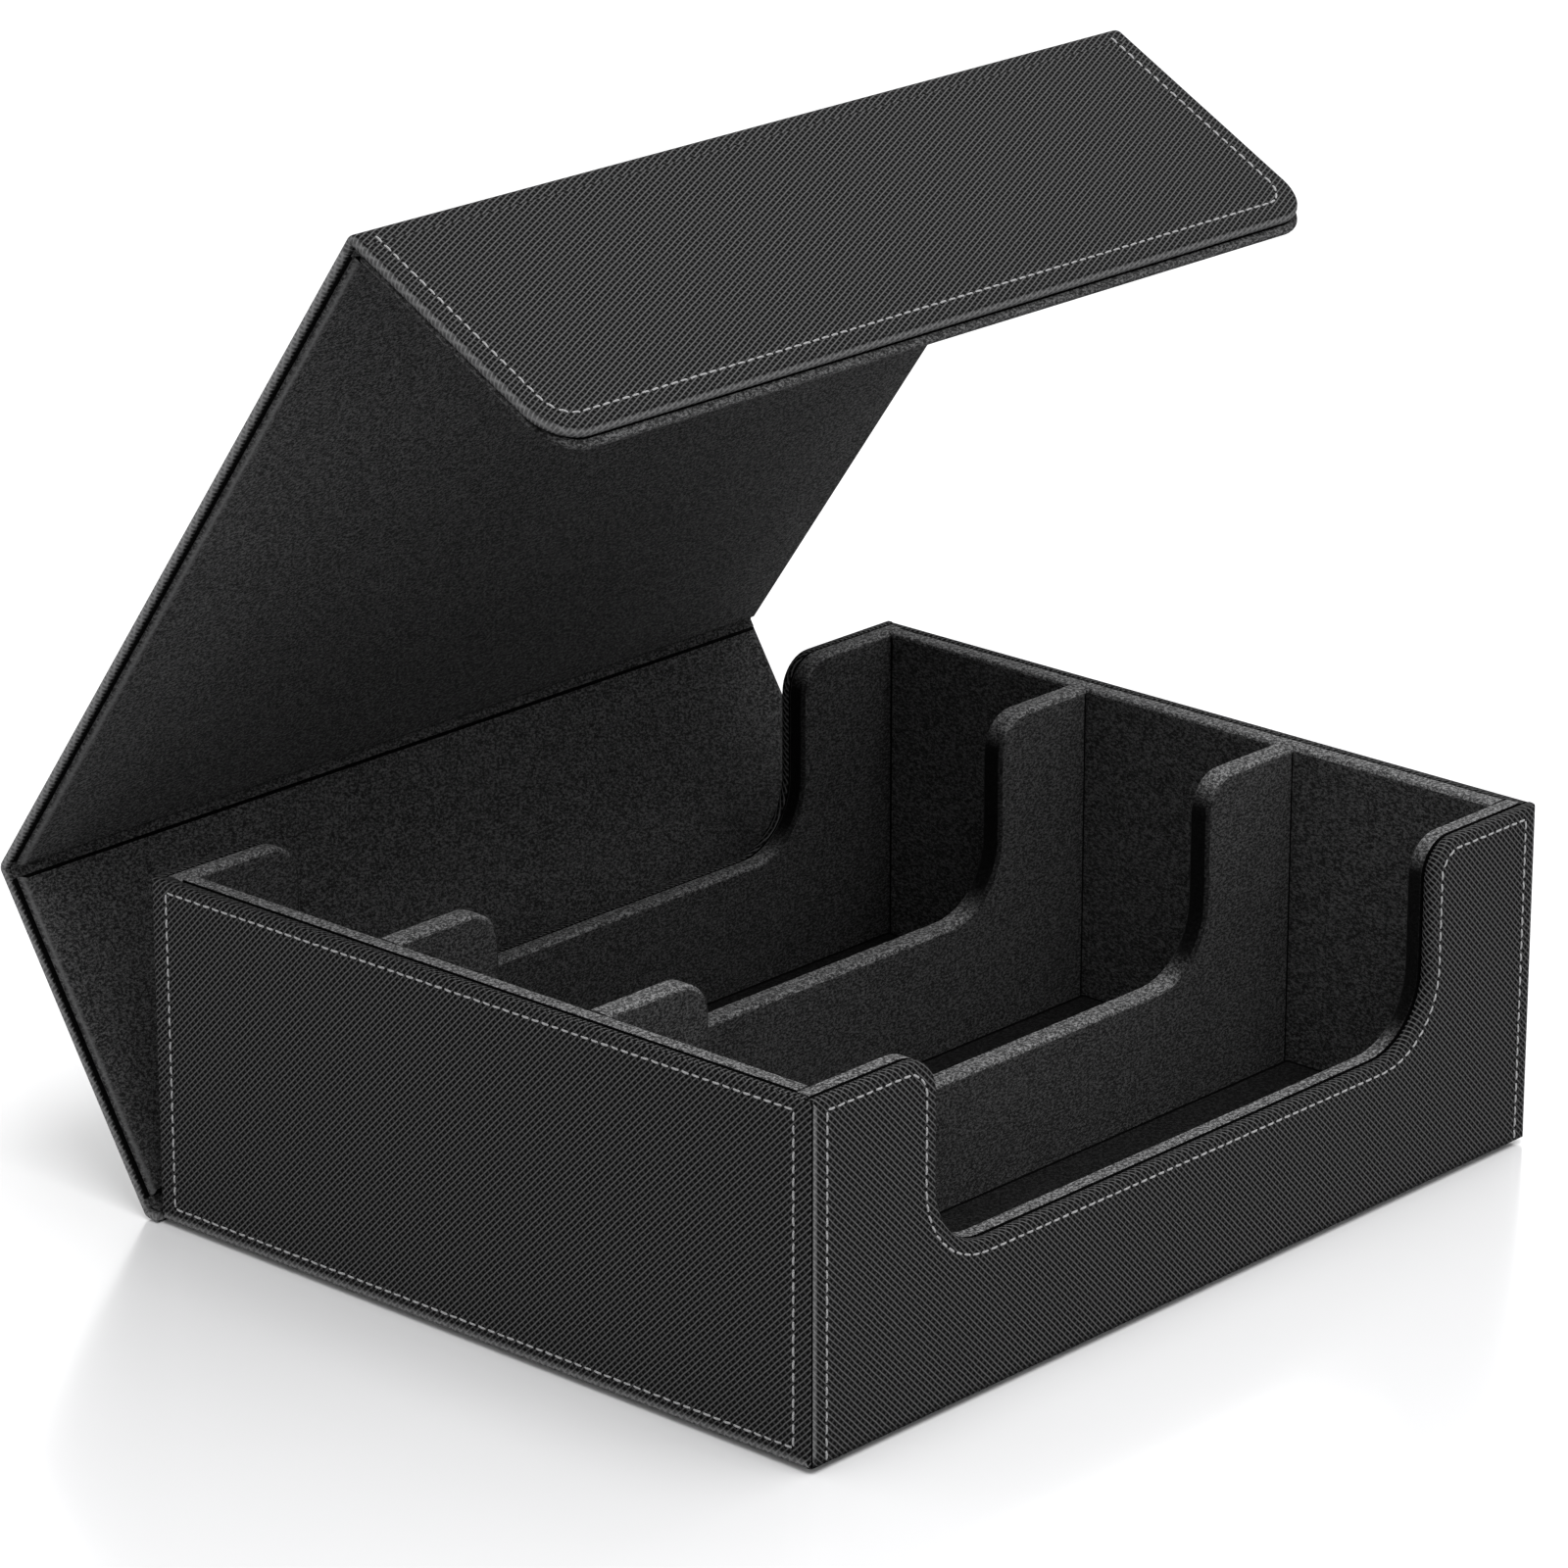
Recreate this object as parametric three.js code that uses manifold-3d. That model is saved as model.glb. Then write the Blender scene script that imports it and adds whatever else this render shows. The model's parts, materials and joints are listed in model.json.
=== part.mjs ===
// A card deck box: a felt-lined tray with three rows, in a leather cover that folds round it.
// Units are millimetres and +Z is up. The origin is the centre of the underside of the tray.
// X runs along the rows, -Y is the front, and the cover is hinged at the back, +Y.

import * as THREE from 'three';
import { mergeVertices } from 'three/addons/utils/BufferGeometryUtils.js';
import Module from 'manifold-3d';

const wasm = await Module();
wasm.setup();

// Tray, measured over the leather.
const LENGTH = 300;
const DEPTH = 242;
const HEIGHT = 101.5;
const ROWS = 3;

// Sheets that everything is made of.
const LEATHER = 0.8;
const FELT = 0.8;
const SKIN_PANEL = 3.2; // a leather-wrapped board: skin and backing
const GROOVE = 0.6; // between a skin panel's edge and the felt rim
const WALL = 9; // skin panel, groove and felt-covered core
const DIVIDER = 6.8;
const FLOOR_CORE = 2.4;
const SKIRT_GAP = 1; // the skin panels stop this far above the table

// How a wall's core meets its skin panel below the felt rim.
const RIM_TUCK = 3;

// The dip that is cut into the front wall, the back wall and both dividers.
const DIP_HALF = 102.5;
const DIP_FLOOR = 43.8;
const DIP_LIP_RADIUS = 11;
const DIP_FOOT_RADIUS = 21;

// Cover.
const COVER_LENGTH = 303;
const COVER = 5.6; // a cover panel: skin panel, glue gap and felt lining
const GLUE_GAP = 0.2;
const LINING_INSET = 1.5; // from a cover panel's open edges
const SHUT_GAP = 0.5; // between the shut cover and the tray
const FLAP = 81; // from the front fold's axis to the free edge
const FLAP_RADIUS = 13;
const EDGE_RADIUS = 2;
const FOLD_HALF_GAP = 3.3; // from a fold's axis to the panel on either side

// Fold strips: thin sleeves round each fold's axis.
const FOLD_OUTER = 2.7;
const FOLD_INNER = 1.6;
const FOLD_LEATHER = 0.7;
const FOLD_FELT = 0.6;

// How the cover stands open, in degrees: the back panel leans back from upright, the top panel
// leans forward from upright, and the flap drops below level.
const BACK_LEAN = 32;
const TOP_LEAN = 35;
const FLAP_DROP = 28.5;

// Magnets in the flap and the steel plates they hold to, behind the front leather.
const CATCH_X = 88;
const CATCH_Z = 33;
const MAGNET_RADIUS = 6;
const PLATE_RADIUS = 7.5;
const CATCH_THICKNESS = 1.8;
const CATCH_PLAY = 0.3;

const ARC_STEPS = 8;
const CUT_MARGIN = 1; // how far a cutting solid runs past the face it cuts

const leather = new THREE.MeshStandardMaterial({ color: 0x3a3a3c, roughness: 0.6, metalness: 0 });
const felt = new THREE.MeshStandardMaterial({ color: 0x232326, roughness: 0.95, metalness: 0 });
const board = new THREE.MeshStandardMaterial({ color: 0x6e6558, roughness: 0.9, metalness: 0 });
const steel = new THREE.MeshStandardMaterial({ color: 0xa6a8ab, roughness: 0.35, metalness: 1 });

// ---- Solids ----

function toSolid(geometry) {
  const bare = geometry.clone();
  bare.deleteAttribute('normal');
  bare.deleteAttribute('uv');
  const merged = mergeVertices(bare);
  const mesh = new wasm.Mesh({
    numProp: 3,
    vertProperties: new Float32Array(merged.attributes.position.array),
    triVerts: new Uint32Array(merged.index.array),
  });
  mesh.merge();
  return new wasm.Manifold(mesh);
}

function toGeometry(solid) {
  const mesh = solid.getMesh();
  const geometry = new THREE.BufferGeometry();
  geometry.setAttribute('position', new THREE.BufferAttribute(mesh.vertProperties, 3));
  geometry.setIndex(new THREE.BufferAttribute(mesh.triVerts, 1));
  geometry.computeVertexNormals();
  return geometry;
}

// The slab of an outline between two depths behind its outer face.
function slab(outline, from, to) {
  const options = { depth: to - from, bevelEnabled: false, curveSegments: ARC_STEPS };
  const geometry = new THREE.ExtrudeGeometry(outline, options);
  geometry.translate(0, 0, from);
  return toSolid(geometry);
}

function named(name, geometry, material) {
  const mesh = new THREE.Mesh(geometry, material);
  mesh.name = name;
  return mesh;
}

// ---- Outlines, in the plane of a panel: across, then up ----

// A plate with its own radius at the two low and the two high corners.
function plateOutline(halfLength, low, high, lowRadius, highRadius) {
  const outline = new THREE.Shape();
  outline.moveTo(-halfLength + lowRadius, low);
  outline.lineTo(halfLength - lowRadius, low);
  if (lowRadius > 0) outline.absarc(halfLength - lowRadius, low + lowRadius, lowRadius, -Math.PI / 2, 0);
  outline.lineTo(halfLength, high - highRadius);
  if (highRadius > 0) outline.absarc(halfLength - highRadius, high - highRadius, highRadius, 0, Math.PI / 2);
  outline.lineTo(-halfLength + highRadius, high);
  if (highRadius > 0) {
    outline.absarc(-halfLength + highRadius, high - highRadius, highRadius, Math.PI / 2, Math.PI);
  }
  outline.lineTo(-halfLength, low + lowRadius);
  if (lowRadius > 0) {
    outline.absarc(-halfLength + lowRadius, low + lowRadius, lowRadius, Math.PI, Math.PI * 1.5);
  }
  return outline;
}

// A wall whose top edge dips, shrunk by an inset along its top, its dip and its ends.
function dippedOutline(halfLength, low, inset, endInset) {
  const end = halfLength - endInset;
  const high = HEIGHT - inset;
  const lip = DIP_LIP_RADIUS - inset;
  const foot = DIP_FOOT_RADIUS + inset;
  const side = DIP_HALF + inset;
  const floor = DIP_FLOOR - inset;
  const outline = new THREE.Shape();
  outline.moveTo(-end, low);
  outline.lineTo(end, low);
  outline.lineTo(end, high);
  outline.lineTo(side + lip, high);
  outline.absarc(side + lip, high - lip, lip, Math.PI / 2, Math.PI);
  outline.lineTo(side, floor + foot);
  outline.absarc(side - foot, floor + foot, foot, 0, -Math.PI / 2, true);
  outline.lineTo(-side + foot, floor);
  outline.absarc(-side + foot, floor + foot, foot, -Math.PI / 2, -Math.PI, true);
  outline.lineTo(-side, high - lip);
  outline.absarc(-side - lip, high - lip, lip, 0, Math.PI / 2);
  outline.lineTo(-end, high);
  return outline;
}

function plainOutline(halfLength, low, inset, endInset) {
  return plateOutline(halfLength - endInset, low, HEIGHT - inset, 0, 0);
}

// ---- Walls: depth runs inward from the outer face of the leather ----

// A wall is a leather skin round a backing board, and behind it a core board under a felt wrap.
function addWall(group, name, outlineOf, skinHalf, skinLow, coreHalf, plates) {
  const coreLow = SKIN_PANEL;
  const coreBack = WALL - FELT;
  const feltFront = SKIN_PANEL + GROOVE;
  const past = SKIN_PANEL + CUT_MARGIN;

  const pocketLow = skinLow + LEATHER;
  const pocket = slab(outlineOf(skinHalf, pocketLow, LEATHER, LEATHER), LEATHER, past);
  const skin = slab(outlineOf(skinHalf, skinLow, 0, 0), 0, SKIN_PANEL).subtract(pocket);
  let backing = slab(outlineOf(skinHalf, pocketLow, LEATHER, LEATHER), LEATHER, SKIN_PANEL);
  for (const plate of plates) {
    const recess = disc(plate.radius, SKIN_PANEL - CATCH_THICKNESS, past, plate.x, plate.z);
    backing = backing.subtract(recess);
  }

  const coreRim = slab(outlineOf(coreHalf, coreLow, FELT, 0), feltFront + FELT, coreBack);
  const core = slab(outlineOf(coreHalf, coreLow, RIM_TUCK, 0), SKIN_PANEL, coreBack).add(coreRim);
  const coreCut = slab(outlineOf(coreHalf + CUT_MARGIN, coreLow - CUT_MARGIN, RIM_TUCK, 0), 0, coreBack);
  const rimOutline = outlineOf(coreHalf + CUT_MARGIN, coreLow - CUT_MARGIN, FELT, 0);
  const rimCut = slab(rimOutline, feltFront + FELT, coreBack);
  const sheet = slab(outlineOf(coreHalf, coreLow, 0, 0), feltFront, WALL);
  const wrap = sheet.subtract(coreCut).subtract(rimCut);

  group.add(named(`${name}_leather`, toGeometry(skin), leather));
  group.add(named(`${name}_backing`, toGeometry(backing), board));
  group.add(named(`${name}_core`, toGeometry(core), board));
  group.add(named(`${name}_felt`, toGeometry(wrap), felt));
}

function disc(radius, from, to, x, z) {
  const outline = new THREE.Shape();
  outline.absarc(x, z, radius, 0, Math.PI * 2);
  return slab(outline, from, to);
}

// Local across, up and depth become world across, up and inward from each side of the tray.
function wallGroup(turn, distance) {
  const upright = new THREE.Group();
  upright.rotation.x = Math.PI / 2;
  upright.rotation.y = Math.PI;
  const side = new THREE.Group();
  side.rotation.z = turn;
  const placed = new THREE.Group();
  placed.position.y = -distance;
  placed.add(upright);
  side.add(placed);
  return { side, upright };
}

const box = new THREE.Group();

const endSkinHalf = DEPTH / 2 - SKIN_PANEL;
const endCoreHalf = DEPTH / 2 - WALL;
const sideCoreHalf = LENGTH / 2 - SKIN_PANEL;
const plateSpots = [-CATCH_X, CATCH_X].map((x) => ({ x, z: CATCH_Z, radius: PLATE_RADIUS }));
const walls = [
  ['front_wall', dippedOutline, 0, DEPTH / 2, LENGTH / 2, SKIRT_GAP, sideCoreHalf, plateSpots],
  ['right_wall', plainOutline, Math.PI / 2, LENGTH / 2, endSkinHalf, SKIRT_GAP, endCoreHalf, []],
  ['back_wall', dippedOutline, Math.PI, DEPTH / 2, LENGTH / 2, SKIN_PANEL, sideCoreHalf, []],
  ['left_wall', plainOutline, -Math.PI / 2, LENGTH / 2, endSkinHalf, SKIRT_GAP, endCoreHalf, []],
];
for (const [name, outlineOf, turn, distance, skinHalf, skinLow, coreHalf, plates] of walls) {
  const { side, upright } = wallGroup(turn, distance);
  addWall(upright, name, outlineOf, skinHalf, skinLow, coreHalf, plates);
  for (const plate of plates) {
    const solid = disc(plate.radius, SKIN_PANEL - CATCH_THICKNESS, SKIN_PANEL, plate.x, plate.z);
    const end = plate.x > 0 ? 'left' : 'right';
    upright.add(named(`catch_plate_${end}`, toGeometry(solid), steel));
  }
  box.add(side);
}

// ---- Base of the cover, under the tray, and the tray's floor ----

const baseHalf = LENGTH / 2 - SKIN_PANEL - GLUE_GAP;
const baseFront = -DEPTH / 2 + SKIN_PANEL + GLUE_GAP;
const baseBack = DEPTH / 2 + GLUE_GAP;
const basePocket = plateOutline(baseHalf - LEATHER, baseFront + LEATHER, baseBack - LEATHER, 0, 0);
const basePlate = plateOutline(baseHalf, baseFront, baseBack, EDGE_RADIUS, EDGE_RADIUS);
const baseSkin = slab(basePlate, 0, SKIN_PANEL).subtract(slab(basePocket, LEATHER, SKIN_PANEL + CUT_MARGIN));
box.add(named('base_leather', toGeometry(baseSkin), leather));
box.add(named('base_board', toGeometry(slab(basePocket, LEATHER, SKIN_PANEL)), board));

const rowHalf = LENGTH / 2 - WALL;
const rowsDepth = DEPTH - 2 * WALL;
const floorTop = SKIN_PANEL + FLOOR_CORE;
const floorOutline = plateOutline(rowHalf, -rowsDepth / 2, rowsDepth / 2, 0, 0);
box.add(named('floor_core', toGeometry(slab(floorOutline, SKIN_PANEL, floorTop)), board));

const rowWidth = (rowsDepth - (ROWS - 1) * DIVIDER) / ROWS;
for (let row = 0; row < ROWS; row += 1) {
  const front = -rowsDepth / 2 + row * (rowWidth + DIVIDER);
  const outline = plateOutline(rowHalf, front, front + rowWidth, 0, 0);
  box.add(named(`floor_felt_${row + 1}`, toGeometry(slab(outline, floorTop, floorTop + FELT)), felt));
}

// ---- Dividers: a core board under one folded sheet of felt ----

for (let index = 1; index < ROWS; index += 1) {
  const front = rowsDepth / 2 - index * rowWidth - (index - 1) * DIVIDER;
  const { side, upright } = wallGroup(0, front);
  const coreOutline = dippedOutline(rowHalf, floorTop, FELT, 0);
  const cutOutline = dippedOutline(rowHalf + CUT_MARGIN, floorTop - CUT_MARGIN, FELT, 0);
  const core = slab(coreOutline, FELT, DIVIDER - FELT);
  const sheet = slab(dippedOutline(rowHalf, floorTop, 0, 0), 0, DIVIDER);
  const wrap = sheet.subtract(slab(cutOutline, FELT, DIVIDER - FELT));
  upright.add(named(`divider_${index}_core`, toGeometry(core), board));
  upright.add(named(`divider_${index}_felt`, toGeometry(wrap), felt));
  box.add(side);
}

// ---- Cover: three panels joined by folds ----

// A chain group stands at a fold's axis with +Y along its panel and +Z towards the tray.
function foldGroup(parent, along, turn) {
  const fold = new THREE.Group();
  fold.position.y = along;
  fold.rotation.x = turn;
  parent.add(fold);
  return fold;
}

// A leather skin round a board, with a felt lining on the side towards the tray. A far edge with
// rounded corners is an open edge; any other far edge meets the next fold.
function addPanel(fold, name, near, far, radius, magnets) {
  const outer = -COVER / 2;
  const skinBack = outer + SKIN_PANEL;
  const boardInset = LEATHER + GLUE_GAP;
  const half = COVER_LENGTH / 2;
  const cornerAt = (inset) => Math.max(radius - inset, 0);
  const outlineAt = (inset) => plateOutline(half - inset, near + inset, far - inset, 0, cornerAt(inset));

  const pocket = slab(outlineAt(LEATHER), outer + LEATHER, skinBack + CUT_MARGIN);
  const skin = slab(outlineAt(0), outer, skinBack).subtract(pocket);
  let plate = slab(outlineAt(boardInset), outer + boardInset, skinBack);
  for (const magnet of magnets) {
    const front = skinBack - CATCH_THICKNESS;
    const past = skinBack + CUT_MARGIN;
    const recess = disc(MAGNET_RADIUS + CATCH_PLAY, front - CATCH_PLAY, past, magnet.x, magnet.along);
    plate = plate.subtract(recess);
    const solid = disc(MAGNET_RADIUS, front, skinBack, magnet.x, magnet.along);
    fold.add(named(magnet.name, toGeometry(solid), steel));
  }
  const liningFar = radius > 0 ? far - LINING_INSET : far;
  const liningOutline = plateOutline(half - LINING_INSET, near, liningFar, 0, cornerAt(LINING_INSET));
  const lining = slab(liningOutline, skinBack + GLUE_GAP, COVER / 2);
  fold.add(named(`${name}_leather`, toGeometry(skin), leather));
  fold.add(named(`${name}_board`, toGeometry(plate), board));
  fold.add(named(`${name}_felt`, toGeometry(lining), felt));
}

// A strip bent round the fold's axis. Its angles run from 0, towards the tray, to a quarter turn,
// along the panel before the fold.
function foldStrip(name, radius, thickness, from, to, material) {
  const inner = radius - thickness;
  const outline = new THREE.Shape();
  outline.moveTo(Math.cos(from) * radius, Math.sin(from) * radius);
  outline.absarc(0, 0, radius, from, to);
  outline.lineTo(Math.cos(to) * inner, Math.sin(to) * inner);
  outline.absarc(0, 0, inner, to, from, true);
  const geometry = toGeometry(slab(outline, -COVER_LENGTH / 2, COVER_LENGTH / 2));
  const strip = named(name, geometry, material);
  strip.rotation.y = -Math.PI / 2;
  return strip;
}

// The leather strip covers the outside of the bend and the felt strip the inside.
function addFold(parent, along, name) {
  const bend = new THREE.Group();
  bend.position.y = along;
  const outside = [Math.PI * 0.35, Math.PI * 1.15];
  const inside = [-Math.PI * 0.65, Math.PI * 0.15];
  bend.add(foldStrip(`${name}_leather`, FOLD_OUTER, FOLD_LEATHER, outside[0], outside[1], leather));
  bend.add(foldStrip(`${name}_felt`, FOLD_INNER, FOLD_FELT, inside[0], inside[1], felt));
  parent.add(bend);
  return bend;
}

const radians = THREE.MathUtils.degToRad;
const backSpan = HEIGHT + SHUT_GAP; // bottom fold's axis to rear fold's axis
const topSpan = DEPTH + 2 * SHUT_GAP + COVER; // rear fold's axis to front fold's axis
const hingeY = DEPTH / 2 + SHUT_GAP + COVER / 2;

const hinge = new THREE.Group();
hinge.position.set(0, hingeY, COVER / 2);
box.add(hinge);

const backFold = foldGroup(hinge, 0, radians(90 - BACK_LEAN));
const topFold = foldGroup(backFold, backSpan, radians(BACK_LEAN + TOP_LEAN));
const flapFold = foldGroup(topFold, topSpan, radians(90 - TOP_LEAN + FLAP_DROP));

const magnetAlong = HEIGHT + SHUT_GAP + COVER / 2 - CATCH_Z;
const magnets = [
  { name: 'magnet_left', x: -CATCH_X, along: magnetAlong },
  { name: 'magnet_right', x: CATCH_X, along: magnetAlong },
];
addPanel(backFold, 'cover_back', FOLD_HALF_GAP, backSpan - FOLD_HALF_GAP, 0, []);
addPanel(topFold, 'cover_top', FOLD_HALF_GAP, topSpan - FOLD_HALF_GAP, 0, []);
addPanel(flapFold, 'cover_flap', FOLD_HALF_GAP, FLAP, FLAP_RADIUS, magnets);

addFold(hinge, 0, 'bottom_fold');
addFold(backFold, backSpan, 'rear_fold');
addFold(topFold, topSpan, 'front_fold');

export default box;
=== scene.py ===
"""The looks of a card deck box: a felt-lined tray with three rows in a sewn leather cover.

Shapes are built in millimetres in the plane of each panel, then placed in the shared frame, which
is in metres.
"""

import json
import math
import random

import bmesh
import bpy
from mathutils import Matrix, Vector


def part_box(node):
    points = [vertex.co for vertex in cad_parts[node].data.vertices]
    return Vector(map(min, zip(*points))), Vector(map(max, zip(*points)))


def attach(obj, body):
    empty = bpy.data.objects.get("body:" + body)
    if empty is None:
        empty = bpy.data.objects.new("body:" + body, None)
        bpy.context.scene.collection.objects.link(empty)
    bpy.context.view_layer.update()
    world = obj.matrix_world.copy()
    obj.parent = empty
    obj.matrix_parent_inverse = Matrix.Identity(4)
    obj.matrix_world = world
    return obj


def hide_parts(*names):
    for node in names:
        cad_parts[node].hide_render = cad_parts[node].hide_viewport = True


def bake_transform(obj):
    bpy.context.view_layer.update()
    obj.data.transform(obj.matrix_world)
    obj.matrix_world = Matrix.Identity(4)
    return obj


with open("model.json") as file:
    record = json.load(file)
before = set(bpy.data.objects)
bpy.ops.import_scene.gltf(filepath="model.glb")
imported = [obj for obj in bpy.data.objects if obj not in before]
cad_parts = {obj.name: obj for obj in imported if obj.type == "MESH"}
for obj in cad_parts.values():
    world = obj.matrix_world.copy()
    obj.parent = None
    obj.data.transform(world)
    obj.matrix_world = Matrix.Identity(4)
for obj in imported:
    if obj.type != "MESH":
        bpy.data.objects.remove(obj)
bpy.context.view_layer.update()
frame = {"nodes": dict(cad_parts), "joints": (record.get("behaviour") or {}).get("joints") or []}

METRE = 0.001  # one millimetre in metres
ARC_STEPS = 10  # in each quarter turn of an outline
SEED = 41
SHARP_ANGLE = math.radians(50)

# A piece has up to three materials: its plain one, the one of its edge, and black for painted
# shade.
PLAIN, EDGE, DARK = 0, 1, 2

# ---- The cover's panels, in millimetres ----

COVER = 5.6  # thickness with the lining
FOLD_HALF_GAP = 3.3  # from a fold's axis to the panels on both sides
FLAP_RADIUS = 13.0  # at the flap's free corners
SMALLEST_RADIUS = 0.1  # where an inset leaves less of a round corner

# ---- The dip in the front wall, the back wall and both dividers, in millimetres ----

DIP_HALF = 102.5  # half its width
DIP_FLOOR = 43.8  # over the table
DIP_LIP_RADIUS = 11.0
DIP_FOOT_RADIUS = 21.0

# ---- Measures read from the frame, in millimetres ----


def box_mm(node):
    low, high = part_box(node)
    return low / METRE, high / METRE


front_low, front_high = box_mm("front_wall_leather")
HALF_LENGTH = front_high.x
HALF_DEPTH = -front_low.y
HEIGHT = front_high.z
FRONT_FOOT = front_low.z
BACK_FOOT = box_mm("back_wall_leather")[0].z
CORE_LOW = box_mm("front_wall_felt")[0].z
ROW_HALF = box_mm("divider_1_felt")[1].x
DIVIDER_LOW = box_mm("divider_1_felt")[0].z
END_CORE_HALF = box_mm("left_wall_felt")[1].y
SIDE_CORE_HALF = box_mm("front_wall_felt")[1].x
COVER_HALF = box_mm("cover_top_leather")[1].x
BASE_LOW, BASE_HIGH = box_mm("base_leather")

joints = {joint["name"]: joint for joint in frame["joints"]}
FOLD_NAMES = ["bottom_fold", "rear_fold", "front_fold"]
FOLD_BODIES = ["tray", "cover_back", "cover_top", "cover_flap"]
AXES = [Vector(joints[name]["pos_m"]) / METRE for name in FOLD_NAMES]
FOLD_ANGLES = [math.radians(joints[name]["range_deg"][1]) for name in FOLD_NAMES]


def turned(direction, angle):
    return Matrix.Rotation(angle, 3, "X") @ direction


DIRECTIONS = [Vector((0, 1, 0))]
for fold_angle in FOLD_ANGLES:
    DIRECTIONS.append(turned(DIRECTIONS[-1], fold_angle))
BACK_SPAN = (AXES[1] - AXES[0]).length
TOP_SPAN = (AXES[2] - AXES[1]).length


def outward(direction):
    return Vector((0, direction.z, -direction.y))


def flap_reach():
    """From the front fold's axis to the flap's free edge."""
    leather = frame["nodes"]["cover_flap_leather"].data.vertices
    return max((v.co / METRE - AXES[-1]).dot(DIRECTIONS[-1]) for v in leather)


FLAP = flap_reach()

# ---- Rolled edges of the tray's leather: inset at the top, at the ends, at the foot, depth ----

FOOT_BAND = [
    (2.2, 2.2, 3.7, 0.0),
    (2.1, 2.1, 3.2, 0.0),
    (2.0, 2.0, 2.6, 0.0),
    (1.8, 1.8, 1.9, 0.0),
]
SIDE_SKIN_RINGS = FOOT_BAND + [
    (1.6, 1.6, 1.3, 0.0),
    (0.9, 1.05, 0.7, 0.12),
    (0.4, 0.75, 0.4, 0.45),
    (0.1, 0.78, 0.1, 1.0),
    (0.0, 0.78, 0.0, 1.7),
    (0.0, 0.78, 0.0, 2.5),
    (0.3, 0.78, 0.3, 3.1),
    (0.8, 0.86, 0.8, 3.2),
    (0.8, 0.86, 0.8, 0.8),
]
END_SKIN_RINGS = FOOT_BAND + [
    (1.6, 1.6, 1.3, 0.0),
    (0.9, 1.05, 0.7, 0.12),
    (0.4, 0.75, 0.4, 0.45),
    (0.2, 0.84, 0.2, 0.78),
    (0.18, 3.25, 0.18, 0.8),
    (0.1, 3.25, 0.1, 1.0),
    (0.0, 3.25, 0.0, 1.7),
    (0.0, 3.25, 0.0, 2.5),
    (0.3, 3.25, 0.3, 3.1),
    (0.8, 4.0, 0.8, 3.2),
    (0.8, 4.0, 0.8, 0.8),
]

# A wall's loop has four points after its top edge, two at each lower corner.
CORNER_SPAN = 3.0
CORNER_POINTS = 4

# Edge wear and painted light, ring by ring: over 0 is rubbed paler under a painted highlight,
# under 0 is a crease darkened with painted shade.
UPRIGHT_WEAR_AND_HIGHLIGHT = [0.0, 0.0, 0.0, 0.15, 0.4, 0.8, 1.0, 0.9] + [0.0] * 7
SIDE_FOOT_SHADE = [0.0, 0.0, -0.15, -0.4, -0.65, -0.85] + [-1.0] * 9
END_FOOT_WEAR_AND_SHADING = [0.0, -0.5, 0.1, 0.5, 1.0, 0.8, -0.2] + [-1.0] * 8

# The strips painted black as shade: those of the seam at a wall's ends, and from the groove on at
# its top.
SIDE_SEAM = range(6, 12)
END_SEAM = range(6, 14)
SIDE_GROOVE = 10
END_GROOVE = 12

# ---- Felt ----

# Over a wall's board: inset at the top, inset at the ends, depth. The first ring is the edge of
# the inner face, and the walk goes over the rim to the lip that is tucked behind the leather.
WALL_FELT_OUTER = [
    (2.0, 1.15, 9.0),
    (1.2, 0.55, 9.0),
    (0.65, 0.35, 8.8),
    (0.25, 0.15, 8.5),
    (0.06, 0.0, 8.2),
    (0.0, 0.0, 7.9),
    (0.0, 0.0, 4.4),
    (0.08, 0.0, 4.1),
    (0.35, 0.0, 3.9),
    (1.2, 0.0, 3.8),
    (3.0, 0.0, 3.8),
]
# The rim's strips, in rim felt, carry its painted shade; the lip tucked behind the leather gets
# black painted shade.
WALL_FELT_SLOTS = [PLAIN] + [EDGE] * 6 + [DARK] * 3
WALL_FELT_INNER = [(3.0, 0.0, 4.4), (0.8, 0.0, 4.4), (0.8, 0.0, 8.2)]
FELT_LEG = 4  # rings 0 to 4 also round the sheet's upright ends, down to its foot
FELT_RIM_FLAT = (5, 6)  # the rings on both sides of the rim's flat top
RIM_ROLL_LEVEL = 0.3  # the least level of the rim's painted shade on the rounds beside it
FOOT_FADE = 4  # how fast the rim darkens with painted shade where the foot of a dip rises

# Folded over a divider, from one face over the rim to the other.
DIVIDER_FELT_OUTER = [
    (2.0, 1.15, 6.8),
    (1.2, 0.55, 6.8),
    (0.65, 0.35, 6.6),
    (0.25, 0.15, 6.3),
    (0.06, 0.0, 6.0),
    (0.0, 0.0, 5.7),
    (0.0, 0.0, 1.1),
    (0.06, 0.0, 0.8),
    (0.25, 0.15, 0.5),
    (0.65, 0.35, 0.2),
    (1.2, 0.55, 0.0),
    (2.0, 1.15, 0.0),
]
# The rim's strips, in rim felt, carry its painted shade.
DIVIDER_FELT_SLOTS = [PLAIN] + [EDGE] * 9 + [PLAIN]
DIVIDER_FELT_INNER = [(0.8, 0.0, 0.8), (0.8, 0.0, 6.0)]

# ---- Cover panels: inset at the open edges, inset at the folds, depth from the outer face ----

COVER_SKIN_RINGS = [
    (1.6, 0.0, 0.0),
    (1.15, 0.0, 0.07),
    (0.75, 0.0, 0.22),
    (0.25, 0.0, 0.7),
    (0.0, 0.0, 1.4),
    (0.06, 0.0, 2.1),
    (0.35, 0.0, 2.75),
    (0.85, 0.0, 3.2),
    (1.5, 0.0, 3.38),
    (3.6, 0.0, 3.36),
    (3.6, 0.1, 3.24),
    (0.85, 0.8, 3.22),
    (0.85, 0.8, 0.8),
]
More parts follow.
